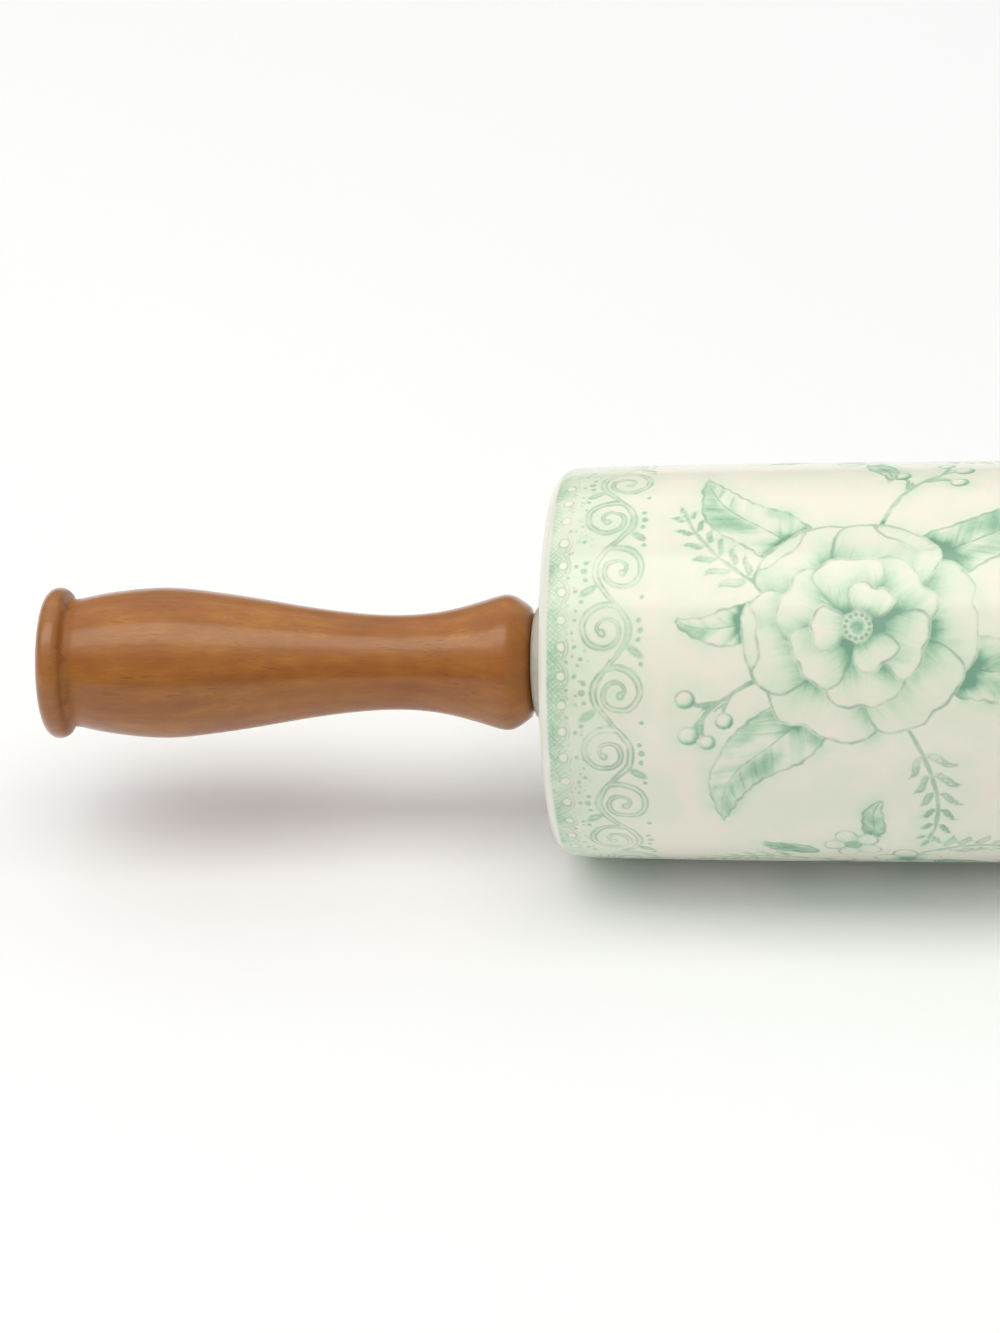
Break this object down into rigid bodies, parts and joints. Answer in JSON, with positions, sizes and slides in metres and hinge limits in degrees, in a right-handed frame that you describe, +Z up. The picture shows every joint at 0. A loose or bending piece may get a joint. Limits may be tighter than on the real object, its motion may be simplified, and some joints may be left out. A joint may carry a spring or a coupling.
{
  "type": "ceramic rolling pin",
  "caption": "Rolling pin with a hollow glazed ceramic roller that turns on a steel axle between turned wooden handles.",
  "frame": {"origin": "centre of the roller, on its axis", "axes": "+X along the pin's axis, +Z up, -Y towards the user"},
  "size_m": [0.423, 0.0698, 0.0698],
  "materials": {
    "glaze": "glossy ivory glaze with a mint green printed ornament",
    "nylon": "natural grey-white moulded nylon",
    "steel": "bright drawn steel",
    "brass": "turned brass",
    "wood": "brown stained hardwood under satin lacquer"
  },
  "bodies": {
    "handles": {"axle_rod": "steel", "left_handle": "wood", "right_handle": "wood", "left_insert": "brass", "right_insert": "brass", "left_washer": "steel", "right_washer": "steel", "left_lock_washer": "steel", "right_lock_washer": "steel"},
    "roller": {"roller_barrel": "glaze", "left_bush": "nylon", "right_bush": "nylon"}
  },
  "joints": [
    {"name": "roller_spin", "type": "hinge", "parent": "handles", "child": "roller", "pos_m": [0, 0, 0], "axis": [1, 0, 0], "continuous": true}
  ]
}
